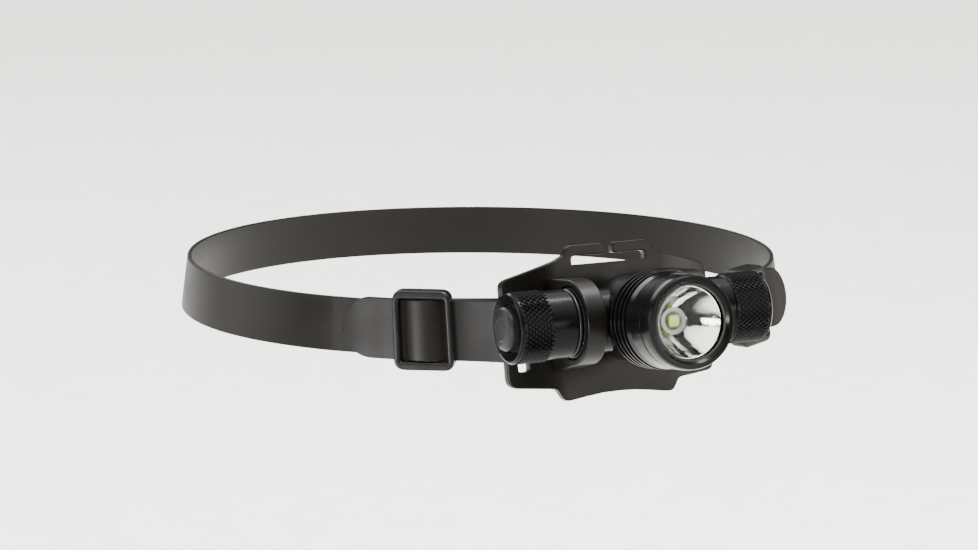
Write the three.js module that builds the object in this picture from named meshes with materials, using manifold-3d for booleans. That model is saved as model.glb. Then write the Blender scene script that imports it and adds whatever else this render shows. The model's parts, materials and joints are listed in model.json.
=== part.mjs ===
// Helmet light on a strap. Millimetres, +Z up, the beam points to -Y, +X runs along the tube.
// The origin is the centre of the strap's loop, at half the strap's height.
// A cross tube holds two cells end to end. Its head points forwards from the middle, and two arms on
// a bracket plate grip it, so that it can tilt. The strap's ends fold through the plate's wing slots.

import * as THREE from "three";
import { mergeVertices } from "three/addons/utils/BufferGeometryUtils.js";
import Module from "manifold-3d";

// ---- driving dimensions ----
const CLEARANCE = 0.3; // between pieces that touch

// strap loop: a half ellipse in front and a longer one behind
const LOOP_HALF_WIDTH = 106;
const LOOP_FRONT = 104;
const LOOP_REAR = 108;
const STRAP_THICKNESS = 1.5;
const BAND_WIDTH = 18.6; // where the rubber is stretched round the hat
const RELAXED_WIDTH = 20.7; // where it lies double, and on the loose tongues
const TAPER_X = 0.0013; // the loop widens downwards by this share per millimetre, most at its sides
const TAPER_Y = 0.00183;
const STRAP_DROP = 0.4; // the strap's middle lies this far below the origin
const RIGHT_DROP = 2.2; // and this much further down on the right side
const INNER_LAYER = 0.95; // strap centrelines, measured out from the loop
const OUTER_LAYER = 2.95;

// the light's tilt axis and the two tilts at rest
const AXIS_Y = -123.8;
const AXIS_Z = 4.5;
const PLATE_LEAN = THREE.MathUtils.degToRad(10.8);
const BEAM_RISE = THREE.MathUtils.degToRad(7.1);

// cross tube and its caps, measured outwards from the middle
const TUBE_RADIUS = 11;
const THREAD_RADIUS = 10.2;
const BATTERY_BORE = 9;
const SHOULDER = 24.6; // where the full tube ends and the threads begin
const THREAD_END = 34;
const CAP_START = 26.2;
const CAP_END = 47.5;
const KNURL_RADIUS = 12.2;
const CAP_BORE = THREAD_RADIUS + CLEARANCE;
const CELL_RADIUS = 8.5;
const CELL_LENGTH = 34.5;
const CELLS_START = -29.6; // x of the switch end of the first cell

// head, measured forwards from the tilt axis
const BODY_RADIUS = 14.8;
const BODY_FRONT = 14.9;
const FIN_RADIUS = 16.7;
const FINS = 4;
const FIN_START = 15;
const FIN_PITCH = 3.05;
const FIN_WIDTH = 1.05;
const LAST_GROOVE = 26.1; // where the smooth barrel begins
const FIN_ROOT = 14.1;
const BARREL_RADIUS = 16;
const BEZEL_START = 36.5;
const BEZEL_FRONT = 43.5;
const MOUTH_RADIUS = 11.8; // the reflector's open end
const THROAT_RADIUS = 4.6; // the reflector's hole round the emitter
const LEAD_OFFSET = 5;

// bracket, measured back from the tilt axis
const PLATE_FRONT = 15.8;
const PLATE_THICKNESS = 3.2;
const PLATE_HALF_WIDTH = 39.3;
const WING_BEND_START = 20;
const WING_BEND_RADIUS = 41;
const WING_SLOT_INNER = 32.4;
const WING_SLOT_OUTER = 35.8;
const ARM_INNER = 16.9;
const ARM_OUTER = 24.3;
const ARM_RADIUS = 14.6;
const ARM_BORE = 12.3;
const SCREW_X = 20.6;
const SCREW_Z = 11.5;

// buckle: along the strap, across it, and out from the loop
const BUCKLE_ANGLE = THREE.MathUtils.degToRad(34.75);
const BUCKLE_LENGTH = 20.6;
const BUCKLE_HEIGHT = 26.8;
const BUCKLE_BACK = 0.3;
const BUCKLE_FACE = 6.3;
const WINDOW_LENGTH = 16.2;
const WINDOW_HEIGHT = 21.3;
const TONGUE_TIP = 50.1; // degrees from the front, where the left tongue ends
const TONGUE_REACH = 29.6; // from the right buckle's middle to the tip

const ROUND = 32; // segments of the large turned pieces
const SMALL_ROUND = 24;

// ---- solids ----
const wasm = await Module();
wasm.setup();

function toSolid(geometry) {
  const bare = geometry.clone();
  bare.deleteAttribute("normal");
  bare.deleteAttribute("uv");
  const merged = mergeVertices(bare, 1e-4);
  const mesh = new wasm.Mesh({
    numProp: 3,
    vertProperties: new Float32Array(merged.attributes.position.array),
    triVerts: new Uint32Array(merged.index.array),
  });
  return new wasm.Manifold(mesh);
}

function toGeometry(solid) {
  const mesh = solid.getMesh();
  const geometry = new THREE.BufferGeometry();
  geometry.setAttribute("position", new THREE.BufferAttribute(new Float32Array(mesh.vertProperties), 3));
  geometry.setIndex(new THREE.BufferAttribute(new Uint32Array(mesh.triVerts), 1));
  geometry.computeVertexNormals();
  return geometry;
}

// A turned piece. Each profile point is [radius, station]. The stations run up the turning axis,
// which is then laid along +X, -X or forwards (-Y).
function turned(profile, towards, segments = ROUND) {
  const points = profile.map(([radius, station]) => new THREE.Vector2(radius, station));
  const geometry = new THREE.LatheGeometry(points, segments);
  if (towards === "forward") geometry.rotateX(Math.PI);
  if (towards === "+x") geometry.rotateZ(-Math.PI / 2);
  if (towards === "-x") geometry.rotateZ(Math.PI / 2);
  return geometry;
}

function discProfile(radius, from, to) {
  return [[0, from], [radius, from], [radius, to], [0, to]];
}

function ringProfile(inner, outer, from, to) {
  return [[inner, from], [outer, from], [outer, to], [inner, to], [inner, from]];
}

function block(x0, x1, y0, y1, z0, z1) {
  const geometry = new THREE.BoxGeometry(x1 - x0, y1 - y0, z1 - z0);
  geometry.translate((x0 + x1) / 2, (y0 + y1) / 2, (z0 + z1) / 2);
  return geometry;
}

// A spring of round wire whose radius narrows from its seat to its tip, along the turning axis
class SpringCurve extends THREE.Curve {
  constructor(seatRadius, tipRadius, seat, tip, turns, towards) {
    super();
    Object.assign(this, { seatRadius, tipRadius, seat, tip, turns, towards });
  }

  getPoint(t, target = new THREE.Vector3()) {
    const angle = t * this.turns * 2 * Math.PI;
    const radius = THREE.MathUtils.lerp(this.seatRadius, this.tipRadius, t);
    const station = THREE.MathUtils.lerp(this.seat, this.tip, t);
    return target.set(this.towards * station, radius * Math.cos(angle), radius * Math.sin(angle));
  }
}

function springGeometry(seatRadius, tipRadius, seat, tip, towards) {
  const turns = 3;
  const wire = new THREE.Shape().absarc(0, 0, 0.4, 0, 2 * Math.PI);
  const path = new SpringCurve(seatRadius, tipRadius, seat, tip, turns, towards);
  return new THREE.ExtrudeGeometry(wire, {
    steps: turns * 12,
    curveSegments: 3,
    extrudePath: path,
    bevelEnabled: false,
  });
}

// ---- light: housing and head ----
function housingGeometry() {
  const tube = toSolid(turned(discProfile(TUBE_RADIUS, -SHOULDER, SHOULDER), "+x"));
  const threads = toSolid(turned(discProfile(THREAD_RADIUS, -THREAD_END, THREAD_END), "+x"));
  const neck = toSolid(turned(discProfile(BODY_RADIUS, -BODY_RADIUS, BODY_FRONT), "forward"));
  const rounding = toSolid(turned(discProfile(BODY_RADIUS + 0.4, -BODY_RADIUS, BODY_RADIUS), "+x"));
  const frontHalf = toSolid(block(-BODY_RADIUS, BODY_RADIUS, -BODY_FRONT - 1, 0, -BODY_RADIUS, BODY_RADIUS));
  const body = neck.intersect(rounding.add(frontHalf));
  const spigot = toSolid(turned(discProfile(12, BODY_FRONT - 1, 19.5), "forward"));
  const bore = toSolid(turned(discProfile(BATTERY_BORE, -THREAD_END - 1, THREAD_END + 1), "+x"));
  const neckBore = toSolid(turned(discProfile(6, 0, BODY_FRONT), "forward", SMALL_ROUND));
  const driverBore = toSolid(turned(discProfile(10.2, 13.5, 20), "forward"));
  const stripGroove = toSolid(block(-THREAD_END - 1, 2.5, -9.75, -8, -1.9, 1.9));
  return toGeometry(
    tube.add(threads).add(body).add(spigot).subtract(bore).subtract(neckBore).subtract(driverBore)
      .subtract(stripGroove)
  );
}

function barrelGeometry() {
  const rear = FIN_START;
  const outside = [[12.3, rear]];
  for (let fin = 0; fin < FINS; fin += 1) {
    const start = rear + fin * FIN_PITCH;
    const end = start + FIN_WIDTH;
    const next = fin < FINS - 1 ? start + FIN_PITCH : LAST_GROOVE;
    outside.push([FIN_RADIUS, start], [FIN_RADIUS, end], [FIN_ROOT, end], [FIN_ROOT, next]);
  }
  outside.push([FIN_RADIUS - 0.3, LAST_GROOVE], [BARREL_RADIUS, 29]);
  outside.push([BARREL_RADIUS, BEZEL_START - CLEARANCE]);
  const inside = [
    [14.3, BEZEL_START - CLEARANCE], [14.3, 39], [13.4, 39], [13.4, 24], [8.1, 24], [8.1, 19.8],
    [12.3, 19.8], [12.3, rear],
  ];
  return turned([...outside, ...inside], "forward");
}

function bezelGeometry() {
  return turned([
    [14.6, BEZEL_START], [BARREL_RADIUS, BEZEL_START], [BARREL_RADIUS - 0.1, 41],
    [15.5, BEZEL_FRONT - 0.4], [15.2, BEZEL_FRONT], [13.4, BEZEL_FRONT], [12.2, 42.7], [14.6, 42.7],
    [14.6, BEZEL_START],
  ], "forward");
}

// The bowl follows r^2 = 4 f (p - vertex) from the throat to the mouth.
function reflectorGeometry() {
  const throat = 29.7;
  const mouth = 40.2;
  const slope = (MOUTH_RADIUS ** 2 - THROAT_RADIUS ** 2) / (mouth - throat);
  const bowl = [];
  const outer = [];
  for (let step = 0; step <= 5; step += 1) {
    const radius = THREE.MathUtils.lerp(THROAT_RADIUS, MOUTH_RADIUS, step / 5);
    const station = throat + (radius ** 2 - THROAT_RADIUS ** 2) / slope;
    bowl.unshift([radius, station]);
    outer.push([radius + 0.8, Math.min(station, mouth - 0.9)]);
  }
  return turned([...outer, [14.2, mouth - 0.9], [14.2, mouth], ...bowl, outer[0]], "forward");
}

function emitterGeometry() {
  const base = toSolid(block(-2.5, 2.5, -29.6, -28.9, -2.5, 2.5));
  const die = toSolid(block(-1.8, 1.8, -30, -29.5, -1.8, 1.8));
  return toGeometry(base.add(die));
}

function heatSinkGeometry() {
  const profile = [[0, 20.1], [7.8, 20.1], [7.8, 24.3], [13.1, 24.3], [13.1, 27], [0, 27]];
  let sink = toSolid(turned(profile, "forward"));
  for (const side of [-1, 1]) {
    const hole = turned(discProfile(0.9, 19, 28), "forward", 12);
    hole.translate(side * LEAD_OFFSET, 0, 0);
    sink = sink.subtract(toSolid(hole));
  }
  return toGeometry(sink);
}

function driverGeometry() {
  const board = toSolid(turned(discProfile(9.8, 16.8, 18), "forward", SMALL_ROUND));
  const inductor = toSolid(block(-2.6, 2.6, -19.4, -17.9, 2, 7));
  const controller = toSolid(block(-2, 2, -19, -17.9, -6.5, -2.5));
  return toGeometry(board.add(inductor).add(controller));
}

function leadGeometry(side) {
  const lead = turned(discProfile(0.5, 18.3, 27), "forward", 10);
  lead.translate(side * LEAD_OFFSET, 0, 0);
  return lead;
}

// ---- light: cells, caps and switch ----
function cellGeometry(start) {
  const nub = 1;
  const profile = [
    [0, start], [CELL_RADIUS - 0.4, start], [CELL_RADIUS, start + 0.4],
    [CELL_RADIUS, start + CELL_LENGTH - nub - 0.4], [CELL_RADIUS - 0.4, start + CELL_LENGTH - nub],
    [3.2, start + CELL_LENGTH - nub], [3.2, start + CELL_LENGTH], [0, start + CELL_LENGTH],
  ];
  return turned(profile, "+x", SMALL_ROUND);
}

function sealGeometry(towards) {
  const middle = 11.1;
  const profile = [];
  for (let corner = 0; corner <= 6; corner += 1) {
    const angle = (corner / 6) * 2 * Math.PI;
    profile.push([middle + 0.6 * Math.cos(angle), 25.4 + 0.55 * Math.sin(angle)]);
  }
  return turned(profile, towards, SMALL_ROUND);
}

// The outside of both caps: a smooth skirt, the knurled band and the chamfered end
function capOutside(skirtRadius, knurlStart) {
  return [
    [CAP_BORE, CAP_START], [skirtRadius, CAP_START], [skirtRadius, knurlStart - 0.3],
    [KNURL_RADIUS, knurlStart], [KNURL_RADIUS, CAP_END - 0.9], [11.3, CAP_END],
  ];
}

function switchCapGeometry() {
  const inside = [[7.9, CAP_END], [7.9, 46.3], [CAP_BORE, 46.3], [CAP_BORE, CAP_START]];
  return turned([...capOutside(11.8, 35), ...inside], "-x");
}

function batteryCapGeometry() {
  const inside = [[0, 45.7], [CAP_BORE, 45.7]];
  return turned([...inside, ...capOutside(11.4, 33.8), [0, CAP_END]], "+x");
}

function bootGeometry() {
  return turned([
    [0, 46.5], [5.5, 46.5], [6.5, 45], [10.2, 45], [10.2, 46], [7.5, 46], [7.5, 48.6], [6.8, 49.6],
    [4, 50.2], [0, 50.4],
  ], "-x", SMALL_ROUND);
}

function plungerGeometry() {
  return turned([[0, 41.9], [2.1, 41.9], [2.1, 45.4], [5.2, 45.4], [5.2, 46.4], [0, 46.4]], "-x",
    SMALL_ROUND);
}

function switchModuleGeometry() {
  return turned([[0, 36.4], [6.2, 36.4], [6.2, 43.6], [2.5, 43.6], [2.5, 39.8], [0, 39.8]], "-x",
    SMALL_ROUND);
}

// ---- bracket ----
// How far the plate's front face has bent back at this distance from the middle
function wingBend(distance) {
  const run = Math.max(Math.abs(distance) - WING_BEND_START, 0);
  return WING_BEND_RADIUS - Math.sqrt(WING_BEND_RADIUS ** 2 - run ** 2);
}

// The plate from above, flat in the middle and bent back at both wings, as a tall prism
function platePlan() {
  const steps = 7;
  const stations = [];
  for (let step = 0; step <= steps; step += 1) {
    stations.push(WING_BEND_START + (step / steps) * (PLATE_HALF_WIDTH + 1 - WING_BEND_START));
  }
  const across = [...stations.map((x) => -x).reverse(), ...stations];
  const front = across.map((x) => new THREE.Vector2(x, PLATE_FRONT + wingBend(x)));
  const back = front.map((point) => new THREE.Vector2(point.x, point.y + PLATE_THICKNESS));
  const shape = new THREE.Shape([...front, ...back.reverse()]);
  const plan = new THREE.ExtrudeGeometry(shape, { depth: 60, bevelEnabled: false });
  plan.translate(0, 0, -30);
  return plan;
}

// The plate from the front: wings, a top tab and a bottom tab with a hollow edge
function plateOutline() {
  const outline = new THREE.Shape();
  outline.moveTo(0, -24.9);
  outline.quadraticCurveTo(10, -25, 17.5, -26.6);
  outline.bezierCurveTo(23.2, -27.5, 22.4, -22.2, 25.5, -22);
  outline.lineTo(36, -21);
  outline.quadraticCurveTo(PLATE_HALF_WIDTH, -20.6, PLATE_HALF_WIDTH, -17.4);
  outline.lineTo(PLATE_HALF_WIDTH, 12.8);
  outline.quadraticCurveTo(PLATE_HALF_WIDTH, 16, 36, 16.8);
  outline.lineTo(20.4, 21.3);
  outline.bezierCurveTo(16.8, 22.2, 17.8, 26.1, 13.4, 26.1);
  outline.lineTo(0, 26.1);
  return outline.getPoints(5);
}

function upright(points, y0, y1) {
  const geometry = new THREE.ExtrudeGeometry(new THREE.Shape(points), {
    depth: y1 - y0, bevelEnabled: false,
  });
  geometry.rotateX(Math.PI / 2);
  geometry.translate(0, y1, 0);
  return geometry;
}

function plateGeometry() {
  const half = plateOutline();
  const mirrored = half.slice(1, -1).reverse().map((point) => new THREE.Vector2(-point.x, point.y));
  const outline = toSolid(upright([...half, ...mirrored], 0, 40));
  const topSlot = toSolid(block(-14, 14, 0, 40, 19.5, 22.4));
  const topGap = toSolid(block(-1.8, 1.8, 0, 40, 21, 30));
  let plate = toSolid(platePlan()).intersect(outline).subtract(topSlot).subtract(topGap);
  for (const side of [-1, 1]) {
    const inner = Math.min(side * WING_SLOT_INNER, side * WING_SLOT_OUTER);
    const outer = Math.max(side * WING_SLOT_INNER, side * WING_SLOT_OUTER);
    plate = plate.subtract(toSolid(block(inner, outer, 0, 40, -15.9, 10.8)));
    for (const level of [-SCREW_Z, SCREW_Z]) {
      plate = plate.subtract(screwHole(side * SCREW_X, level, 1.5, 10));
      plate = plate.subtract(screwHole(side * SCREW_X, level, 3, 17.3));
    }
  }
  return toGeometry(plate);
}

// A round hole from behind the plate, as deep as the given station
function screwHole(x, z, radius, station) {
  const hole = new THREE.CylinderGeometry(radius, radius, 30 - station, 12);
  hole.translate(x, (30 + station) / 2, z);
  return toSolid(hole);
}

function armGeometry(side) {
  const base = PLATE_FRONT - CLEARANCE;
  const outline = new THREE.Shape();
  outline.moveTo(base, 15.6);
  outline.lineTo(0, ARM_RADIUS);
  outline.absarc(0, 0, ARM_RADIUS, Math.PI / 2, (3 * Math.PI) / 2, false);
  outline.lineTo(base, -16.6);
  outline.closePath();
  outline.holes.push(new THREE.Path().absarc(0, 0, ARM_BORE, 0, 2 * Math.PI, true));
  const ring = new THREE.ExtrudeGeometry(outline, {
    depth: ARM_OUTER - ARM_INNER, bevelEnabled: false, curveSegments: 24,
  });
  // The outline's first axis runs back from the tilt axis and its second one runs up.
  ring.applyMatrix4(new THREE.Matrix4().makeBasis(
    new THREE.Vector3(0, 1, 0), new THREE.Vector3(0, 0, 1), new THREE.Vector3(1, 0, 0)
  ));
  ring.translate(side > 0 ? ARM_INNER : -ARM_OUTER, 0, 0);
  let arm = toSolid(ring);
  for (const level of [-SCREW_Z, SCREW_Z]) {
    arm = arm.subtract(screwHole(side * SCREW_X, level, 1.5, 8.2));
  }
  return toGeometry(arm);
}

function screwGeometry() {
  const profile = [
    [0, 8.5], [0.9, 8.5], [1.2, 9.2], [1.2, 17.6], [2.7, 17.6], [2.7, 18.7], [1.1, 18.7], [0.9, 18],
    [0, 18],
  ];
  return turned(profile, "forward", 12).rotateX(Math.PI);
}

// ---- strap and buckles ----
// A point of the loop, and the direction out of it, at an angle from the front
function loopPoint(angle, offset) {
  const depth = Math.cos(angle) > 0 ? LOOP_FRONT : LOOP_REAR;
  const normal = new THREE.Vector2(Math.sin(angle) / LOOP_HALF_WIDTH, -Math.cos(angle) / depth);
  normal.normalize().multiplyScalar(offset);
  return new THREE.Vector2(LOOP_HALF_WIDTH * Math.sin(angle), -depth * Math.cos(angle)).add(normal);
}

// A point beside the buckle: run is along the strap away from the plate, rise is out from the loop
function bucklePoint(run, rise) {
  const middle = loopPoint(BUCKLE_ANGLE, 0);
  const out = loopPoint(BUCKLE_ANGLE, 1).sub(middle);
  const along = new THREE.Vector2(-out.y, out.x);
  return middle.addScaledVector(along, run).addScaledVector(out, rise);
}

// A point beside the plate's wing at the strap's mid-height: back is from the plate's front face
function wingPoint(x, back) {
  const station = PLATE_FRONT + wingBend(x) + back;
  return new THREE.Vector2(x, AXIS_Y + station / Math.cos(PLATE_LEAN) - AXIS_Z * Math.tan(PLATE_LEAN));
}

// The right end of the strap: along the hat, over the buckle's middle bar, behind the wing's bar, out
// through the slot, back over the bar, over the middle bar again, and out as the loose tongue
function strapEnd(tongue) {
  const inward = [
    loopPoint(THREE.MathUtils.degToRad(47), INNER_LAYER), bucklePoint(13, INNER_LAYER - 0.7),
    bucklePoint(8.5, INNER_LAYER), bucklePoint(5.6, 1.5), bucklePoint(3.2, 3.1), bucklePoint(0, 3.5),
    bucklePoint(-3.2, 3.1), bucklePoint(-5.6, 1.5), bucklePoint(-8.5, INNER_LAYER),
    bucklePoint(-13, INNER_LAYER - 0.5),
    wingPoint(45, 4.1), wingPoint(40, 5), wingPoint(37, 4.9), wingPoint(35.4, 4.6),
    wingPoint(34.25, 3.45), wingPoint(34.1, 1.9), wingPoint(34.4, 0.2), wingPoint(35.6, -1.05),
    wingPoint(37.4, -1.4), wingPoint(39.4, -1.4), wingPoint(41, -0.7), wingPoint(44.5, -0.1),
  ];
  const outward = [
    bucklePoint(-14, OUTER_LAYER - 0.1), bucklePoint(-9.4, OUTER_LAYER), bucklePoint(-7, 3.2),
    bucklePoint(-4, 4.9), bucklePoint(0, 5.5), bucklePoint(4, 4.9), bucklePoint(7, 3.2),
    bucklePoint(9.4, OUTER_LAYER), bucklePoint(13.5, OUTER_LAYER - 0.6),
  ];
  const route = [...inward, ...outward, ...tongue].map((point) => new THREE.Vector3(point.x, point.y, 0));
  return new THREE.CatmullRomCurve3(route, false, "centripetal").getPoints(76);
}

// The whole centreline, from the left tongue round the back of the hat to the right tongue. The left
// tongue lies along the hat and the right one stands straight out from its buckle.
function strapCentreline() {
  const lying = [44.3, 47.4, TONGUE_TIP].map(
    (degrees) => loopPoint(THREE.MathUtils.degToRad(degrees), OUTER_LAYER),
  );
  const standing = [20, 25, TONGUE_REACH].map((run) => bucklePoint(run, OUTER_LAYER - 0.2));
  const right = strapEnd(standing);
  const left = strapEnd(lying).map((point) => new THREE.Vector3(-point.x, point.y, 0)).reverse();
  const back = [];
  const start = THREE.MathUtils.degToRad(53);
  const count = 30;
  for (let step = 0; step <= count; step += 1) {
    const angle = -start - (step / count) * 2 * (Math.PI - start);
    const point = loopPoint(angle, INNER_LAYER);
    back.push(new THREE.Vector3(point.x, point.y, 0));
  }
  return [...left, ...back, ...right];
}

// The strap's width at a step of its centreline: full where it lies double, narrower where it is
// stretched, and rounded off at the two tips
function strapWidth(line, step) {
  const fromTip = Math.min(line[step].distanceTo(line[0]), line[step].distanceTo(line[line.length - 1]));
  const steps = Math.min(step, line.length - 1 - step);
  const radius = RELAXED_WIDTH / 2;
  if (steps < 20 && fromTip < radius) {
    return Math.max(2 * Math.sqrt(radius ** 2 - (radius - fromTip) ** 2), 3);
  }
  return steps < 66 ? RELAXED_WIDTH : BAND_WIDTH;
}

// How far the strap hangs below the origin: it slopes down between the bracket and the right buckle,
// and rises again round the back
function drop(x, y) {
  const slope = y < 0 ? [34, 60] : [-LOOP_HALF_WIDTH, LOOP_HALF_WIDTH];
  return STRAP_DROP + RIGHT_DROP * THREE.MathUtils.smoothstep(x, ...slope);
}

// Lays a piece of the strap on the hat's flared side
function taper(geometry) {
  const position = geometry.attributes.position;
  for (let i = 0; i < position.count; i += 1) {
    const x = position.getX(i);
    const y = position.getY(i);
    const z = position.getZ(i) - drop(x, y);
    const flaredX = x * (1 - TAPER_X * z * (x / LOOP_HALF_WIDTH) ** 2);
    position.setXYZ(i, flaredX, y * (1 - TAPER_Y * z), z);
  }
  return geometry;
}

function strapGeometry() {
  const line = strapCentreline();
  const sides = [[], []];
  const widths = new Map();
  line.forEach((point, step) => {
    const before = line[Math.max(step - 1, 0)];
    const after = line[Math.min(step + 1, line.length - 1)];
    const along = after.clone().sub(before).normalize();
    const across = new THREE.Vector2(-along.y, along.x).multiplyScalar(STRAP_THICKNESS / 2);
    for (const side of [0, 1]) {
      const edge = new THREE.Vector2(point.x, point.y).addScaledVector(across, side ? 1 : -1);
      edge.x = Math.fround(edge.x);
      edge.y = Math.fround(edge.y);
      sides[side].push(edge);
      widths.set(`${edge.x},${edge.y}`, strapWidth(line, step));
    }
  });
  const shape = new THREE.Shape([...sides[0], ...sides[1].reverse()]);
  const strap = new THREE.ExtrudeGeometry(shape, { depth: 1, bevelEnabled: false });
  const position = strap.attributes.position;
  for (let i = 0; i < position.count; i += 1) {
    const width = widths.get(`${position.getX(i)},${position.getY(i)}`);
    position.setZ(i, (position.getZ(i) - 0.5) * width);
  }
  return taper(strap);
}

// A three-bar slide: a rounded frame, hollow behind its two side bars, with a middle bar at the back
function buckleGeometry(side) {
  const half = BUCKLE_LENGTH / 2;
  const tall = BUCKLE_HEIGHT / 2;
  const corner = 3.6;
  const outline = new THREE.Shape();
  outline.moveTo(-half + corner, -tall);
  outline.lineTo(half - corner, -tall);
  outline.absarc(half - corner, -tall + corner, corner, -Math.PI / 2, 0);
  outline.absarc(half - corner, tall - corner, corner, 0, Math.PI / 2);
  outline.absarc(-half + corner, tall - corner, corner, Math.PI / 2, Math.PI);
  outline.absarc(-half + corner, -tall + corner, corner, Math.PI, (3 * Math.PI) / 2);
  const frame = toSolid(upright(outline.getPoints(5), -BUCKLE_FACE, -BUCKLE_BACK));
  const opening = WINDOW_HEIGHT / 2;
  const window = toSolid(block(-WINDOW_LENGTH / 2, WINDOW_LENGTH / 2, -8, 0, -opening, opening));
  const behindBars = toSolid(block(-half - 1, half + 1, -4.1, 0, -opening, opening));
  const middleBar = toSolid(block(-2, 2, -2.3, -BUCKLE_BACK, -opening - 1, opening + 1));
  const buckle = toGeometry(frame.subtract(window).subtract(behindBars).add(middleBar));
  const place = loopPoint(side * BUCKLE_ANGLE, 0);
  const out = loopPoint(side * BUCKLE_ANGLE, 1).sub(place);
  buckle.rotateZ(Math.atan2(out.x, -out.y));
  buckle.translate(place.x, place.y, 0);
  return taper(buckle);
}

// ---- materials ----
const MATERIALS = {
  anodised: [0x0c0c0d, 0.42, 0.6],
  rubber: [0x2a2927, 0.7, 0],
  bootRubber: [0x34353a, 0.65, 0],
  blackPlastic: [0x0e0e0e, 0.3, 0],
  bucklePlastic: [0x141414, 0.35, 0],
  mirror: [0xe9e9ea, 0.05, 1],
  glass: [0xffffff, 0.02, 0],
  emitter: [0xe8d44a, 0.4, 0],
  whitePlastic: [0xc9c9c4, 0.6, 0],
  board: [0x1f5a2c, 0.5, 0],
  copper: [0xb87333, 0.35, 1],
  steel: [0xb8b8bc, 0.3, 1],
  cell: [0x2f6fb5, 0.45, 0],
  redLead: [0xa02020, 0.5, 0],
  nylon: [0x1a1a1a, 0.5, 0],
};

function material(name) {
  const [color, roughness, metalness] = MATERIALS[name];
  return new THREE.MeshStandardMaterial({ color, roughness, metalness });
}

function add(parent, name, geometry, finish) {
  const mesh = new THREE.Mesh(geometry, material(finish));
  mesh.name = name;
  parent.add(mesh);
  return mesh;
}

// ---- assembly ----
const group = new THREE.Group();

const bracket = new THREE.Group();
bracket.position.set(0, AXIS_Y, AXIS_Z);
bracket.rotation.x = -PLATE_LEAN;
group.add(bracket);
add(bracket, "bracket_plate", plateGeometry(), "blackPlastic");
add(bracket, "left_arm", armGeometry(-1), "blackPlastic");
add(bracket, "right_arm", armGeometry(1), "blackPlastic");
for (const [name, x, z] of [
  ["arm_screw_1", -SCREW_X, SCREW_Z], ["arm_screw_2", -SCREW_X, -SCREW_Z],
  ["arm_screw_3", SCREW_X, SCREW_Z], ["arm_screw_4", SCREW_X, -SCREW_Z],
]) {
  add(bracket, name, screwGeometry(), "steel").position.set(x, 0, z);
}
const tiltRing = ringProfile(
  TUBE_RADIUS + CLEARANCE, ARM_BORE - CLEARANCE, ARM_INNER + 0.1, ARM_OUTER - 0.1,
);
add(bracket, "left_tilt_ring", turned(tiltRing, "-x", SMALL_ROUND), "nylon");
add(bracket, "right_tilt_ring", turned(tiltRing, "+x", SMALL_ROUND), "nylon");

add(group, "strap", strapGeometry(), "rubber");
add(group, "left_buckle", buckleGeometry(-1), "bucklePlastic");
add(group, "right_buckle", buckleGeometry(1), "bucklePlastic");

const light = new THREE.Group();
light.position.set(0, AXIS_Y, AXIS_Z);
light.rotation.x = -BEAM_RISE;
group.add(light);
add(light, "housing", housingGeometry(), "anodised");
add(light, "head_barrel", barrelGeometry(), "anodised");
add(light, "bezel_ring", bezelGeometry(), "anodised");
add(light, "lens_gasket", turned(ringProfile(12.3, 14.2, 42, 42.4), "forward", SMALL_ROUND), "rubber");
add(light, "lens", turned(discProfile(14.2, 40.5, 41.7), "forward"), "glass");
add(light, "reflector", reflectorGeometry(), "mirror");
add(light, "led_emitter", emitterGeometry(), "emitter");
add(light, "led_centring_ring", turned(ringProfile(3.9, 6.6, 28.9, 29.4), "forward", SMALL_ROUND),
  "whitePlastic");
add(light, "led_board", turned(discProfile(7, 27.3, 28.6), "forward", SMALL_ROUND), "board");
add(light, "heat_sink", heatSinkGeometry(), "copper");
add(light, "driver_board", driverGeometry(), "board");
add(light, "led_lead_positive", leadGeometry(-1), "redLead");
add(light, "led_lead_negative", leadGeometry(1), "rubber");
add(light, "driver_contact", turned(discProfile(1, 9.8, 16.5), "forward", 12), "steel");
add(light, "feed_strip", block(-THREAD_END - 0.4, 2, -9.45, -9.15, -1.5, 1.5), "copper");
add(light, "cell_1", cellGeometry(CELLS_START), "cell");
add(light, "cell_2", cellGeometry(CELLS_START + CELL_LENGTH + CLEARANCE), "cell");
add(light, "left_thread_seal", sealGeometry("-x"), "rubber");
add(light, "right_thread_seal", sealGeometry("+x"), "rubber");

add(light, "switch_cap", switchCapGeometry(), "anodised");
add(light, "switch_boot", bootGeometry(), "bootRubber");
add(light, "switch_plunger", plungerGeometry(), "whitePlastic");
add(light, "switch_module", switchModuleGeometry(), "blackPlastic");
add(light, "switch_retainer", turned(ringProfile(7, 10.2, 41.8, 43.1), "-x", SMALL_ROUND), "steel");
add(light, "switch_board", turned(discProfile(9.8, 34.9, 36.1), "-x", SMALL_ROUND), "board");
add(light, "switch_spring", springGeometry(5.5, 3, 34.1, 30.4, -1), "steel");

const cellsEnd = CELLS_START + 2 * CELL_LENGTH + CLEARANCE;
add(light, "battery_cap", batteryCapGeometry(), "anodised");
add(light, "battery_contact", turned(discProfile(9.9, 44.6, 45.4), "+x", SMALL_ROUND), "steel");
add(light, "battery_spring", springGeometry(6.5, 4, 43.8, cellsEnd + 0.8, 1), "steel");

export default group;
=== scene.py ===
# Looks of a helmet light on its strap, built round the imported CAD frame.
# Shapes are worked out in millimetres in the light's, the bracket's or the row's own frame and are
# scaled to metres when they become objects.

import json
import math

import bmesh
import bpy
from mathutils import Matrix, Quaternion, Vector


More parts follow.
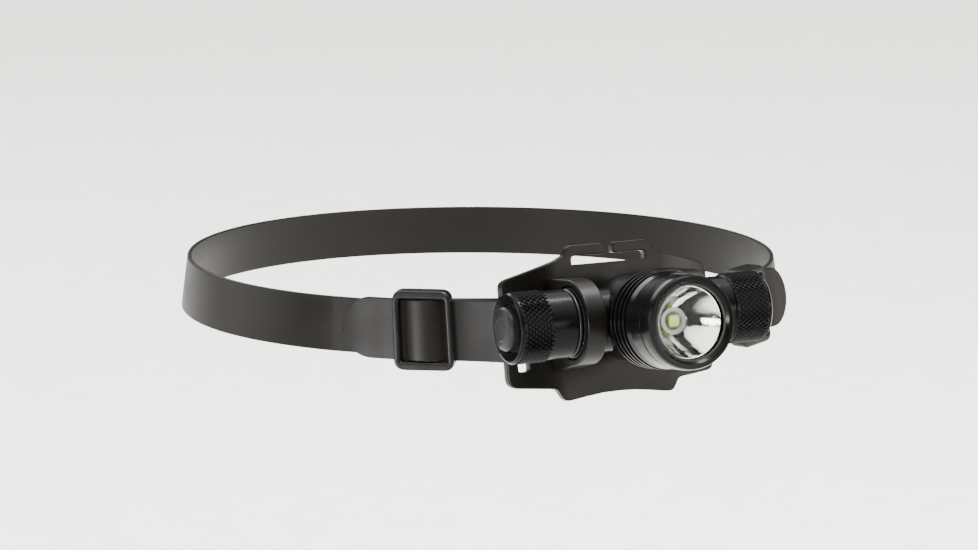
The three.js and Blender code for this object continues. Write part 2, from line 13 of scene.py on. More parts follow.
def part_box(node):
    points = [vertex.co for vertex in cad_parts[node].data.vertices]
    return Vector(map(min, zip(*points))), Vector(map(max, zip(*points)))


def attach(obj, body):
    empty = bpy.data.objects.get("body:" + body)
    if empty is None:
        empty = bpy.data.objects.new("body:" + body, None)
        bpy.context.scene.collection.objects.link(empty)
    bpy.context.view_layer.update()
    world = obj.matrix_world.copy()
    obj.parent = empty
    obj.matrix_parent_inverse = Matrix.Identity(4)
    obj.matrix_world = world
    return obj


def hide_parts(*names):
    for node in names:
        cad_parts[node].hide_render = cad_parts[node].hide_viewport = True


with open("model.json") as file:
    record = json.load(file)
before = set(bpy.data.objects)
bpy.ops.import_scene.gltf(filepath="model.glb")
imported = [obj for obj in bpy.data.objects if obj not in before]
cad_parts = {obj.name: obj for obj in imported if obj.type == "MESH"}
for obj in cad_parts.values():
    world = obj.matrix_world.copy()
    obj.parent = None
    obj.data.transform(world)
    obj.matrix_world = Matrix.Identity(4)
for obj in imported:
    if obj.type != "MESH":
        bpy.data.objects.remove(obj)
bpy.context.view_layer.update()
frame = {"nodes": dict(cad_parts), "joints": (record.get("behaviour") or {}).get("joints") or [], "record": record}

MM = 0.001
TO_METRES = Matrix.Scale(MM, 4)

# ---- places taken from the frame ----
JOINTS = {joint["name"]: joint for joint in frame["joints"]}
TILT_AXIS = Vector(JOINTS["light_tilt"]["pos_m"])
BACK_NORMAL = next(m for m in frame["record"]["mounts"] if m["name"] == "bracket_back")["axis"]
PLATE_LEAN = math.atan2(-BACK_NORMAL[2], BACK_NORMAL[1])


def middle(node):
    low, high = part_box(node)
    return (low + high) / 2


BEAM = middle("lens") - TILT_AXIS
BEAM_RISE = math.atan2(BEAM.z, -BEAM.y)

LIGHT = Matrix.Translation(TILT_AXIS) @ Matrix.Rotation(-BEAM_RISE, 4, "X") @ TO_METRES
BRACKET = Matrix.Translation(TILT_AXIS) @ Matrix.Rotation(-PLATE_LEAN, 4, "X") @ TO_METRES
ROW = TO_METRES  # the strap and the buckles lie in the frame's own axes

# ---- driving dimensions, in millimetres ----
LOOP_HALF_WIDTH = 106  # the oval that the strap follows round the hat
LOOP_FRONT = 104
LOOP_REAR = 108
STRAP_THICKNESS = 1.5
BAND_WIDTH = 18.6  # where the rubber is stretched round the hat
RELAXED_WIDTH = 20.7  # where it lies double, and on the loose tongues
DOUBLED_LENGTH = 108  # from each tongue's tip, as far as the strap keeps its full width
TAPER_X = 0.0013  # how much narrower the loop gets for each millimetre of height
TAPER_Y = 0.00183
STRAP_DROP = 0.4  # how far the strap's middle hangs below the origin
RIGHT_DROP = 2.2  # and how much further on the right
RIGHT_DROP_START = 34
RIGHT_DROP_END = 60
INNER_LAYER = 0.95  # centre of each layer of the strap, out from the oval
OUTER_LAYER = 2.95
BUCKLE_ANGLE = math.radians(34.75)
BUCKLE_HALF_LENGTH = 10.3
BUCKLE_HALF_HEIGHT = 13.4
WINDOW_HALF_LENGTH = 8.1
WINDOW_HALF_HEIGHT = 10.65
TONGUE_TIP = 50.1  # degrees from the front, where the left tongue ends
TONGUE_REACH = 29.6  # from the right buckle's middle to its tongue's tip

TUBE_RADIUS = 11
THREAD_RADIUS = 10.2
SHOULDER = 24.6
THREAD_END = 34
CAP_START = 26.2
CAP_END = 47.5
CAP_BORE = 10.5
KNURL_RADIUS = 12.2
KNURL_DEPTH = 0.4

FIN_RADIUS = 16.7
FIN_START = 15
FIN_PITCH = 3.05
FIN_WIDTH = 1.05
LAST_GROOVE = 26.1
BARREL_RADIUS = 16
BEZEL_START = 36.5
BEZEL_FRONT = 43.5
MOUTH_RADIUS = 11.8
THROAT_RADIUS = 4.6

PLATE_FRONT = 15.8
PLATE_THICKNESS = 3.2
PLATE_HALF_WIDTH = 39.3
WING_BEND_START = 20
WING_BEND_RADIUS = 41
ARM_INNER = 16.9
ARM_OUTER = 24.3
ARM_RADIUS = 14.6
ARM_BORE = 12.3
ARM_BASE_TOP = 15.65
ARM_BASE_BOTTOM = -16.65
SLOT_INNER = 32.4
SLOT_OUTER = 35.8
SLOT_BOTTOM = -15.4
SLOT_TOP = 10.8
SINK_FLOOR = 17.3  # how far back the screw heads' sinks reach
SCREW_X = 20.6
SCREW_Z = 11.5

FINE = 128  # segments of the large turned pieces
FLAT_TOP = 0.24  # half the width of each knurled diamond's flat top, against its base


# ---- camera ----
def make_camera():
    azimuth = math.radians(-26.7)
    elevation = math.radians(10.67)
    distance = 1.5
    back = Vector((
        math.sin(azimuth) * math.cos(elevation), -math.cos(azimuth) * math.cos(elevation),
        math.sin(elevation),
    ))
    right = Vector((math.cos(azimuth), math.sin(azimuth), 0))
    up = back.cross(right)
    aim = TILT_AXIS - 0.0492 * right + 0.0144 * up
    data = bpy.data.cameras.new("camera")
    data.lens = 162.6
    data.sensor_width = 36
    data.clip_start = 0.05
    data.clip_end = 50
    camera = bpy.data.objects.new("camera", data)
    camera.location = TILT_AXIS + back * distance
    turn = (aim - camera.location).to_track_quat("-Z", "Y")
    camera.rotation_mode = "QUATERNION"
    camera.rotation_quaternion = turn @ Quaternion((0, 0, 1), math.radians(-0.43))
    bpy.context.collection.objects.link(camera)
    bpy.context.scene.camera = camera


make_camera()


# ---- mesh helpers ----
def fillet(points, radius, steps=4, closed=True):
    """Rounds the corners of an outline. A point may carry its own radius as a third number."""
    rounded = []
    count = len(points)
    for i, point in enumerate(points):
        here = Vector(point[:2])
        size = point[2] if len(point) > 2 else radius
        ends = not closed and i in (0, count - 1)
        if size <= 0 or ends:
            rounded.append(here)
            continue
        before = Vector(points[i - 1][:2]) - here
        after = Vector(points[(i + 1) % count][:2]) - here
        opening = before.angle(after)
        if opening > math.radians(175):
            rounded.append(here)
            continue
        reach = size / math.tan(opening / 2)
        start = here + before.normalized() * min(reach, 0.48 * before.length)
        end = here + after.normalized() * min(reach, 0.48 * after.length)
        for step in range(steps + 1):
            t = step / steps
            rounded.append(start * (1 - t) ** 2 + here * 2 * t * (1 - t) + end * t ** 2)
    return rounded


AXES = {
    "forward": (Vector((0, -1, 0)), Vector((1, 0, 0)), Vector((0, 0, 1))),
    "back": (Vector((0, 1, 0)), Vector((1, 0, 0)), Vector((0, 0, 1))),
    "+x": (Vector((1, 0, 0)), Vector((0, 1, 0)), Vector((0, 0, 1))),
    "-x": (Vector((-1, 0, 0)), Vector((0, 1, 0)), Vector((0, 0, 1))),
}


def ring_point(towards, radius, station, turn):
    axis, across, up = AXES[towards]
    return axis * station + (across * math.cos(turn) + up * math.sin(turn)) * radius


def revolve(profile, towards, segments=FINE, closed=True):
    """A turned solid: the profile's points are (radius, station), and it closes on itself or on the
    axis."""
    mesh = bmesh.new()
    rings = []
    for radius, station in profile:
        if radius < 1e-6:
            rings.append([mesh.verts.new(ring_point(towards, 0, station, 0))] * segments)
            continue
        rings.append([
            mesh.verts.new(ring_point(towards, radius, station, 2 * math.pi * i / segments))
            for i in range(segments)
        ])
    pairs = list(zip(rings, rings[1:] + rings[:1])) if closed else list(zip(rings, rings[1:]))
    for one, two in pairs:
        for i in range(segments):
            corners = [one[i], one[(i + 1) % segments], two[(i + 1) % segments], two[i]]
            unique = list(dict.fromkeys(corners))
            if len(unique) > 2:
                mesh.faces.new(unique)
    bmesh.ops.recalc_face_normals(mesh, faces=mesh.faces)
    return mesh


def box_mesh(x0, x1, y0, y1, z0, z1, bevel=0.0):
    mesh = bmesh.new()
    bmesh.ops.create_cube(mesh, size=1)
    size = Matrix.Diagonal((x1 - x0, y1 - y0, z1 - z0, 1))
    mesh.transform(Matrix.Translation(((x0 + x1) / 2, (y0 + y1) / 2, (z0 + z1) / 2)) @ size)
    if bevel:
        bmesh.ops.bevel(mesh, geom=mesh.edges[:], offset=bevel, segments=3, profile=0.5,
                        affect="EDGES")
    return mesh


def shift(mesh, x=0.0, y=0.0, z=0.0):
    mesh.transform(Matrix.Translation((x, y, z)))
    return mesh


def temporary(mesh):
    data = bpy.data.meshes.new("temporary")
    mesh.to_mesh(data)
    mesh.free()
    obj = bpy.data.objects.new("temporary", data)
    bpy.context.collection.objects.link(obj)
    return obj


def evaluated(obj):
    graph = bpy.context.evaluated_depsgraph_get()
    data = bpy.data.meshes.new_from_object(obj.evaluated_get(graph))
    mesh = bmesh.new()
    mesh.from_mesh(data)
    bpy.data.meshes.remove(data)
    return mesh


def combine(base, *steps):
    """Joins or cuts closed meshes: each step is ("UNION" or "DIFFERENCE", mesh)."""
    obj = temporary(base)
    tools = []
    for operation, mesh in steps:
        tool = temporary(mesh)
        tools.append(tool)
        modifier = obj.modifiers.new("combine", "BOOLEAN")
        modifier.operation = operation
        modifier.solver = "EXACT"
        modifier.object = tool
    result = evaluated(obj)
    for used in [obj, *tools]:
        bpy.data.objects.remove(used)
    return result


def rounded_slab(outlines, thickness, bevel, steps=3):
    """A slab lying in XY, centred on Z = 0, whose edges are rounded. The first outline is the
    outside and the others are holes."""
    data = bpy.data.curves.new("slab", "CURVE")
    data.dimensions = "2D"
    data.fill_mode = "BOTH"
    data.extrude = thickness / 2 - bevel
    data.bevel_depth = bevel
    data.bevel_resolution = steps
    data.offset = -bevel
    for outline in outlines:
        spline = data.splines.new("POLY")
        spline.points.add(len(outline) - 1)
        for point, place in zip(spline.points, outline):
            point.co = (place[0], place[1], 0, 1)
        spline.use_cyclic_u = True
    obj = bpy.data.objects.new("slab", data)
    bpy.context.collection.objects.link(obj)
    mesh = evaluated(obj)
    bpy.data.objects.remove(obj)
    bmesh.ops.remove_doubles(mesh, verts=mesh.verts, dist=1e-4)
    bmesh.ops.recalc_face_normals(mesh, faces=mesh.faces)
    return mesh


def circle(x, y, radius, count=32):
    return [
        (x + radius * math.cos(2 * math.pi * i / count), y + radius * math.sin(2 * math.pi * i / count))
        for i in range(count)
    ]


def rectangle(x, y):
    return [(-x, -y), (x, -y), (x, y), (-x, y)]


def piece(name, mesh, place, body, nodes, material, sharp=32):
    """Makes the finished object of a sub-part, hangs it on its body's empty and hides the CAD nodes that it stands
    for.
    """
    mesh.transform(place)
    bmesh.ops.recalc_face_normals(mesh, faces=mesh.faces)
    data = bpy.data.meshes.new(name)
    mesh.to_mesh(data)
    mesh.free()
    data.polygons.foreach_set("use_smooth", [True] * len(data.polygons))
    data.set_sharp_from_angle(angle=math.radians(sharp))
    data.materials.append(material)
    obj = bpy.data.objects.new(name, data)
    bpy.context.collection.objects.link(obj)
    weighted = obj.modifiers.new("weighted normals", "WEIGHTED_NORMAL")
    weighted.keep_sharp = True
    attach(obj, body)
    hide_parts(*nodes)
    return obj


# ---- materials ----
def link(tree, source, output, target, socket):
    tree.links.new(source.outputs[output], target.inputs[socket])


def surface(name, color, roughness, grain=0.4, depth=0.004, tint=0.15, smudge=0.06, patch=14,
            stretch=(1, 1, 1), **sockets):
    """A finish with fine grain in its bump, patches of slightly different colour and smudges in its
    roughness. Grain and patch sizes and the bump's depth are in millimetres."""
    material = bpy.data.materials.new(name)
    material.use_nodes = True
    tree = material.node_tree
    shader = tree.nodes["Principled BSDF"]
    for socket, value in sockets.items():
        shader.inputs[socket.replace("_", " ")].default_value = value
    place = tree.nodes.new("ShaderNodeTexCoord")
    mapping = tree.nodes.new("ShaderNodeMapping")
    mapping.inputs["Scale"].default_value = stretch
    link(tree, place, "Object", mapping, "Vector")

    def noise(size, detail):
        node = tree.nodes.new("ShaderNodeTexNoise")
        node.inputs["Scale"].default_value = 1 / (size * MM)
        node.inputs["Detail"].default_value = detail
        link(tree, mapping, "Vector", node, "Vector")
        return node

    fine = noise(grain, 3)
    broad = noise(patch, 4)
    ramp = tree.nodes.new("ShaderNodeValToRGB")
    ramp.color_ramp.elements[0].position = 0.3
    ramp.color_ramp.elements[1].position = 0.7
    ramp.color_ramp.elements[0].color = [c * (1 - tint) for c in color] + [1]
    ramp.color_ramp.elements[1].color = [min(c * (1 + tint), 1) for c in color] + [1]
    link(tree, broad, "Fac", ramp, "Fac")
    link(tree, ramp, "Color", shader, "Base Color")
    rough = tree.nodes.new("ShaderNodeMapRange")
    rough.inputs["From Min"].default_value = 0.3
    rough.inputs["From Max"].default_value = 0.7
    rough.inputs["To Min"].default_value = max(roughness - smudge, 0.01)
    rough.inputs["To Max"].default_value = roughness + smudge
    link(tree, broad, "Fac", rough, "Value")
    link(tree, rough, "Result", shader, "Roughness")
    bump = tree.nodes.new("ShaderNodeBump")
    bump.inputs["Strength"].default_value = 1
    bump.inputs["Distance"].default_value = depth * MM
    link(tree, fine, "Fac", bump, "Height")
    link(tree, bump, "Normal", shader, "Normal")
    return material


ANODISED = surface("anodised", (0.002, 0.002, 0.002), 0.2, grain=0.25, depth=0.001, smudge=0.02,
                   patch=25, Specular_IOR_Level=0.055)
BRACKET_PLASTIC = surface("bracket_plastic", (0.0026, 0.0024, 0.0019), 0.32, grain=0.6, depth=0.002,
                          Specular_IOR_Level=0.1)
BUCKLE_PLASTIC = surface("buckle_plastic", (0.005, 0.005, 0.0047), 0.3, grain=0.5, depth=0.002,
                         Specular_IOR_Level=0.13)
STRAP_RUBBER = surface("strap_rubber", (0.0052, 0.0046, 0.004), 0.4, grain=0.5, depth=0.003,
                       patch=30, stretch=(0.5, 0.5, 1.6), Specular_IOR_Level=0.09)
BOOT_RUBBER = surface("boot_rubber", (0.007, 0.007, 0.008), 0.38, grain=0.3, depth=0.002,
                      Specular_IOR_Level=0.12)
SEAL_RUBBER = surface("seal_rubber", (0.006, 0.006, 0.006), 0.35, grain=0.3, Specular_IOR_Level=0.2)
WHITE_PLASTIC = surface("white_plastic", (0.3, 0.33, 0.3), 0.4, grain=0.2)
BLACK_PLASTIC = surface("black_plastic", (0.008, 0.008, 0.008), 0.45, grain=0.3)
NYLON = surface("nylon", (0.01, 0.01, 0.01), 0.35, grain=0.3)
STEEL = surface("steel", (0.55, 0.55, 0.57), 0.28, grain=0.2, Metallic=1)
COPPER = surface("copper", (0.72, 0.38, 0.24), 0.3, grain=0.2, Metallic=1)
BOARD = surface("circuit_board", (0.03, 0.16, 0.06), 0.35, grain=0.6)
CELL_WRAP = surface("cell_wrap", (0.06, 0.16, 0.36), 0.3, grain=2, depth=0.01)
RED_INSULATION = surface("red_insulation", (0.42, 0.03, 0.02), 0.4, grain=0.3)
BLACK_INSULATION = surface("black_insulation", (0.02, 0.02, 0.02), 0.4, grain=0.3)
MIRROR = surface("reflector_mirror", (0.8, 0.82, 0.78), 0.05, grain=3, depth=0.07, tint=0.02,
                 smudge=0.02, Metallic=1)
PHOSPHOR = surface("led_phosphor", (0.3, 0.38, 0.006), 0.35, grain=0.15, tint=0.2, patch=1,
                   Coat_Weight=0.6)
LED_BASE = surface("led_base", (0.05, 0.055, 0.05), 0.35, grain=0.2)
GLASS = surface("lens_glass", (0.97, 0.985, 0.99), 0.015, grain=6, depth=0.0005, tint=0.01,
                smudge=0.01, Transmission_Weight=1, IOR=1.08)


# ---- light: caps, boot and seals ----
def knurled(outline, band, towards, starts=46, rows=10):
    """A turned piece whose outline is interrupted by a band of diamond knurling. outline is cut in
    two: the points before the band and the points after it. band is (radius, first and last
    station)."""
    before, after = outline
    radius, first, last = band
    floor = radius - KNURL_DEPTH
    segments = 2 * starts
    mesh = bmesh.new()

    def place(ring_radius, station, column):
        return mesh.verts.new(ring_point(towards, ring_radius, station, math.pi * column / starts))

    rings = []
    for ring_radius, station in [*before, (floor, first)]:
        rings.append([place(ring_radius, station, i) for i in range(segments)])
    pitch = (last - first) / rows
    grid = [rings[-1]]
    for row in range(1, rows):
        grid.append([
            place(floor, first + row * pitch, i) if (i + row) % 2 == 0 else None
            for i in range(segments)
        ])
    closing = []
    for ring_radius, station in [(floor, last), *after]:
        closing.append([place(ring_radius, station, i) for i in range(segments)])
    grid.append(closing[0])

    for row in range(1, rows):
        station = first + row * pitch
        for i in range(segments):
            if (i + row) % 2 == 0:
                continue
            left, right = grid[row][i - 1], grid[row][(i + 1) % segments]
            low, high = grid[row - 1][i], grid[row + 1][i]
            tops = [
                place(radius, station, i - FLAT_TOP), place(radius, station - FLAT_TOP * pitch, i),
                place(radius, station, i + FLAT_TOP), place(radius, station + FLAT_TOP * pitch, i),
            ]
            base = [left, low, right, high]
            mesh.faces.new(tops)
            for k in range(4):
                mesh.faces.new([base[k], base[(k + 1) % 4], tops[(k + 1) % 4], tops[k]])
    for edge_row, inner in ((0, 1), (rows, rows - 1)):
        ring = grid[edge_row]
        for i in range(segments):
            if (i + edge_row) % 2 == 0:
                continue
            tip = grid[inner][i]
            mesh.faces.new([ring[i - 1], ring[i], tip])
            mesh.faces.new([ring[i], ring[(i + 1) % segments], tip])
    chain = [(rings[k], rings[k + 1]) for k in range(len(rings) - 1)]
    chain += [(closing[k], closing[k + 1]) for k in range(len(closing) - 1)]
    chain.append((closing[-1], rings[0]))
    for one, two in chain:
        for i in range(segments):
            following = (i + 1) % segments
            mesh.faces.new([one[i], one[following], two[following], two[i]])
    bmesh.ops.recalc_face_normals(mesh, faces=mesh.faces)
    return mesh


def make_switch_cap():
    floor = KNURL_RADIUS - KNURL_DEPTH
    skirt = fillet([(CAP_BORE, 30), (CAP_BORE, CAP_START), (11.8, CAP_START, 0.5), (11.8, 34.6),
                    (floor, 34.9)], 0.15, closed=False)
    end = fillet([(floor, 46.55), (12.15, 46.6, 0.1), (11.6, 47.35, 0.2), (11, CAP_END, 0.2),
                  (8.1, 46.9, 0.1), (7.9, 46.3), (CAP_BORE, 46.3), (CAP_BORE, 30.1)],
                 0.1, steps=3, closed=False)
    mesh = knurled((skirt, end), (KNURL_RADIUS, 35, 46.5), "-x")
    piece("switch_cap_shell", mesh, LIGHT, "switch_end", ["switch_cap"], ANODISED, 25)


def make_battery_cap():
    floor = KNURL_RADIUS - KNURL_DEPTH
    skirt = fillet([(CAP_BORE, 30), (CAP_BORE, CAP_START), (11.4, CAP_START, 0.5), (11.4, 33.4),
                    (floor, 33.7)], 0.15, closed=False)
    end = fillet([(floor, 46.6), (12, 46.7, 0.1), (11.2, 47.4, 0.2), (9.6, CAP_END),
                  (9.4, 47.2), (6.5, 47.15), (6.3, CAP_END - 0.05), (0.4, CAP_END)], 0.12, steps=3,
                 closed=False)
    inside = [(0, CAP_END), (0, 45.7), (CAP_BORE, 45.7), (CAP_BORE, 30.1)]
    mesh = knurled((skirt, [*end, *inside]), (KNURL_RADIUS, 33.8, 46.5), "+x", rows=12)
    bmesh.ops.remove_doubles(mesh, verts=mesh.verts, dist=1e-4)
    piece("battery_cap_shell", mesh, LIGHT, "battery_end", ["battery_cap"], ANODISED, 25)


def make_boot():
    dome = [(0, 50.4), (2, 50.36), (3.2, 50.28), (3.4, 50.4), (3.9, 50.36), (4.1, 50.16), (5, 50.05),
            (6, 49.8, 1), (6.9, 49.45, 0.5), (7.45, 48.6, 0.5)]
    outside = fillet([*dome, (7.5, 46.1), (10.2, 46), (10.2, 45), (6.5, 45), (5.5, 46.5), (0, 46.5, 0)],
                     0.1, steps=3, closed=False)
    mesh = revolve(outside, "-x", 96, closed=False)
    piece("switch_boot_dome", mesh, LIGHT, "button", ["switch_boot"], BOOT_RUBBER, 50)


def make_seals():
    for node, towards in (("left_thread_seal", "-x"), ("right_thread_seal", "+x")):
        mesh = revolve(circle(11.1, 25.4, 0.57, 20), towards)
        piece(f"{node}_ring", mesh, LIGHT, "light", [node], SEAL_RUBBER, 60)


# ---- light: housing and head ----
def tube_profile():
    """Half the cross tube, from the bore out, with rolled threads under the cap's skirt."""
    points = [(9, 0), (9, THREAD_END), (THREAD_RADIUS - 0.7, THREAD_END), (THREAD_RADIUS - 0.5, 33.7)]
    pitch = 1.25
    station = 33.2
    while station > 27.2:
        points += [(THREAD_RADIUS - 0.45, station), (THREAD_RADIUS, station - 0.35),
                   (THREAD_RADIUS, station - 0.6), (THREAD_RADIUS - 0.45, station - 0.95)]
        station -= pitch
    points += [(THREAD_RADIUS - 0.4, 26), (THREAD_RADIUS - 0.4, SHOULDER), (TUBE_RADIUS - 0.2, SHOULDER),
               (TUBE_RADIUS, SHOULDER - 0.2), (TUBE_RADIUS, 0)]
    return points


def make_housing():
    half = tube_profile()
    other = [(radius, -station) for radius, station in reversed(half) if station > 0]
    tube = revolve([*[p for p in half if p[1] > 0], (TUBE_RADIUS, 0), *other, (9, 0)], "+x", 96)
    neck = revolve(fillet([(0, -11.5, 0), (8, -11.5, 2), (13, -8, 3), (14.8, -4.4, 3), (14.8, 14.9, 0.4),
                           (12, 14.9), (12, 19.5), (10.2, 19.5), (10.2, 13.5), (0, 13.5, 0)], 0.2,
                          closed=False), "forward", 96, closed=False)
    bore = revolve([(0, -40), (9, -40), (9, 40), (0, 40)], "+x", 96, closed=False)
    neck_bore = revolve([(0, 0), (6, 0), (6, 14), (0, 14)], "forward", 64, closed=False)
    mesh = combine(neck, ("UNION", tube), ("DIFFERENCE", bore), ("DIFFERENCE", neck_bore))
    piece("housing_body", mesh, LIGHT, "light", ["housing"], ANODISED, 30)


def make_barrel():
    profile = [(12.3, FIN_START)]
    for fin in range(4):
        start = FIN_START + fin * FIN_PITCH
        following = start + FIN_PITCH if fin < 3 else LAST_GROOVE
        profile += [(FIN_RADIUS, start, 0.25), (FIN_RADIUS, start + FIN_WIDTH, 0.25),
                    (13.9, start + FIN_WIDTH, 0.25), (13.9, following, 0.25)]
    profile += [(16.35, LAST_GROOVE, 0.3), (BARREL_RADIUS, 29, 2), (BARREL_RADIUS, 36.15, 0.2),
                (14.3, 36.15), (14.3, 39), (13.4, 39), (13.4, 24), (8.1, 24), (8.1, 19.8), (12.3, 19.8)]
    mesh = revolve(fillet(profile, 0.1), "forward")
    piece("head_barrel_shell", mesh, LIGHT, "light", ["head_barrel"], ANODISED, 30)


def make_bezel():
    profile = [(14.6, BEZEL_START), (BARREL_RADIUS, BEZEL_START, 0.3), (BARREL_RADIUS, 40.2, 1.5),
               (15.8, 42.3, 0.9), (15.35, BEZEL_FRONT, 0.25), (13.9, 43.4, 0.4), (12.85, 42.3, 0.1),
               (12.85, 41.95), (14.6, 41.95)]
    mesh = revolve(fillet(profile, 0.08), "forward")
    piece("bezel_ring_shell", mesh, LIGHT, "light", ["bezel_ring"], ANODISED, 25)


def make_lens():
    mesh = revolve(fillet([(0, 40.5, 0), (14.2, 40.5), (14.2, 41.7), (0, 41.7, 0)], 0.15,
                          closed=False), "forward", 96, closed=False)
    piece("lens_disc", mesh, LIGHT, "light", ["lens"], GLASS, 30)


def make_reflector():
    throat, mouth = 29.7, 40.2
    slope = (MOUTH_RADIUS ** 2 - THROAT_RADIUS ** 2) / (mouth - throat)
    bowl = []
    for step in range(41):
        radius = THROAT_RADIUS + (MOUTH_RADIUS - THROAT_RADIUS) * step / 40
        bowl.append((radius, throat + (radius ** 2 - THROAT_RADIUS ** 2) / slope))
    outer = [(radius + 0.7, min(station, mouth - 0.9)) for radius, station in bowl[::5]]
    rim = [(11.85, mouth + 0.14), (12.03, mouth + 0.24), (12.22, mouth + 0.2), (12.35, mouth + 0.05),
           (14.1, mouth + 0.05), (14.2, mouth), (14.2, mouth - 0.9)]
    mesh = revolve([*bowl, *rim, *reversed(outer)], "forward")
    piece("reflector_bowl", mesh, LIGHT, "light", ["reflector"], MIRROR, 40)


def make_emitter():
    """The LED: a dark base, the phosphor square, whose clear dome is left out, and the ring round it."""
    base = revolve(fillet([(0, 28.9, 0), (2.95, 28.9), (2.95, 29.2), (0, 29.2, 0)], 0.1,
                          closed=False), "forward", 64, closed=False)
    piece("led_base", base, LIGHT, "light", ["led_emitter"], LED_BASE, 40)
    square = fillet([(-2.1, -2.1), (2.1, -2.1), (2.1, 2.1), (-2.1, 2.1)], 0.9, steps=6)
    die = rounded_slab([square], 0.9, 0.3, 3)
    die.transform(Matrix.Rotation(math.pi / 2, 4, "X"))
    shift(die, 0, -29.6)
    piece("led_die", die, LIGHT, "light", ["led_emitter"], PHOSPHOR, 40)
    ring = revolve(fillet([(3.05, 28.9), (6.6, 28.9), (6.6, 29.35), (3.5, 29.45), (3.05, 29.2)], 0.1),
                   "forward", 96)
    piece("led_ring", ring, LIGHT, "light", ["led_centring_ring"], WHITE_PLASTIC, 40)


# ---- bracket ----
def wing_bend(distance):
    run = max(abs(distance) - WING_BEND_START, 0)
    return WING_BEND_RADIUS - math.sqrt(WING_BEND_RADIUS ** 2 - run ** 2)


def plate_outline():
    """The right half of the plate from the bottom middle up to the gap in the top bar, with the
    slot below that bar, then the same mirrored."""
    lower = [(0, -24.9, 0), (6, -25.05, 0), (12, -25.75, 0), (20.6, -26.95, 3), (23.3, -22.3, 2.6),
             (PLATE_HALF_WIDTH, -20.7, 3.6), (PLATE_HALF_WIDTH, 15.9, 3.4), (20.2, 21.4, 4),
             (17, 22.9, 1.5), (15.2, 26.1, 2.6), (1.8, 26.1, 1.2), (1.8, 22.4, 0.8), (14, 22.4, 1.4),
             (14, 19.5, 1.4)]
    half = fillet(lower, 0.5, closed=False)
    mirrored = [(-point[0], point[1]) for point in reversed(half[1:])]
    return [*half, *mirrored]


def make_plate():
    slots = [
        fillet([(side * SLOT_INNER, SLOT_BOTTOM), (side * SLOT_OUTER, SLOT_BOTTOM),
                (side * SLOT_OUTER, SLOT_TOP), (side * SLOT_INNER, SLOT_TOP)], 0.8)
        for side in (-1, 1)
    ]
    holes = [circle(x, z, 1.5) for x in (-SCREW_X, SCREW_X) for z in (-SCREW_Z, SCREW_Z)]
    mesh = rounded_slab([plate_outline(), *slots, *holes], PLATE_THICKNESS, 0.45)
    # The slab's Y becomes up and its front face turns to -Y.
    mesh.transform(Matrix.Rotation(math.pi / 2, 4, "X"))
    shift(mesh, 0, PLATE_FRONT + PLATE_THICKNESS / 2)
    sink = [(0, SINK_FLOOR), (3, SINK_FLOOR), (3, 24), (0, 24)]
    sinks = [
        ("DIFFERENCE", shift(revolve(sink, "back", 40, closed=False), x, 0, z))
        for x in (-SCREW_X, SCREW_X) for z in (-SCREW_Z, SCREW_Z)
    ]
    mesh = combine(mesh, *sinks)
    # Cuts across the wings, so that they can bend smoothly
    bmesh.ops.dissolve_limit(mesh, angle_limit=math.radians(0.2), verts=mesh.verts, edges=mesh.edges)
    for step in range(14):
        for side in (-1, 1):
            x = side * (WING_BEND_START + step * 1.45)
            geometry = mesh.verts[:] + mesh.edges[:] + mesh.faces[:]
            bmesh.ops.bisect_plane(mesh, geom=geometry, plane_co=(x, 0, 0), plane_no=(1, 0, 0))
    bmesh.ops.triangulate(mesh, faces=[face for face in mesh.faces if len(face.verts) > 4])
    for vertex in mesh.verts:
        vertex.co.y += wing_bend(vertex.co.x)
    piece("bracket_plate_moulding", mesh, BRACKET, "bracket", ["bracket_plate"],
          BRACKET_PLASTIC, 35)


def make_arms():
    front = [(ARM_RADIUS * math.cos(turn), ARM_RADIUS * math.sin(turn))
             for turn in (math.radians(90 + 180 * i / 40) for i in range(41))]
    base = PLATE_FRONT + 1
    outline = [(base, ARM_BASE_BOTTOM), (base, ARM_BASE_TOP), *front]
    slab = [outline, circle(0, 0, ARM_BORE, 72)]
    width = ARM_OUTER - ARM_INNER
    for side, node in ((-1, "left_arm"), (1, "right_arm")):
        mesh = rounded_slab(slab, width, 0.55, 4)
        # The slab's X becomes back, its Y becomes up and its Z runs along the tube.
        mesh.transform(Matrix(((0, 0, 1, 0), (1, 0, 0, 0), (0, 1, 0, 0), (0, 0, 0, 1))))
        shift(mesh, side * (ARM_INNER + ARM_OUTER) / 2)
        behind = box_mesh(-30, 30, PLATE_FRONT - 0.02, PLATE_FRONT + 5, -20, 20)
        mesh = combine(mesh, ("DIFFERENCE", behind))
        piece(f"{node}_moulding", mesh, BRACKET, "bracket", [node],
              BRACKET_PLASTIC, 35)


def make_screws():
    number = 1
    for x in (-SCREW_X, SCREW_X):
        for z in (SCREW_Z, -SCREW_Z):
            profile = fillet([(0, 8.5, 0), (0.9, 8.5), (1.2, 9.2), (1.2, 17.6), (2.7, 17.6),
                              (2.7, 18.5, 0.3), (0, 18.75, 0)], 0.08, closed=False)
            screw = revolve(profile, "back", 48, closed=False)
            cross = box_mesh(-1.5, 1.5, 17.7, 20, -0.3, 0.3)
            bar = box_mesh(-0.3, 0.3, 17.7, 20, -1.5, 1.5)
            mesh = combine(screw, ("DIFFERENCE", cross), ("DIFFERENCE", bar))
            shift(mesh, x, 0, z)
            piece(f"arm_screw_{number}_cross_head", mesh, BRACKET, "bracket", [f"arm_screw_{number}"],
                  STEEL, 30)
            number += 1


# ---- strap and buckles ----
def loop_point(angle, offset):
    depth = LOOP_FRONT if math.cos(angle) > 0 else LOOP_REAR
    normal = Vector((math.sin(angle) / LOOP_HALF_WIDTH, -math.cos(angle) / depth)).normalized()
    return Vector((LOOP_HALF_WIDTH * math.sin(angle), -depth * math.cos(angle))) + normal * offset


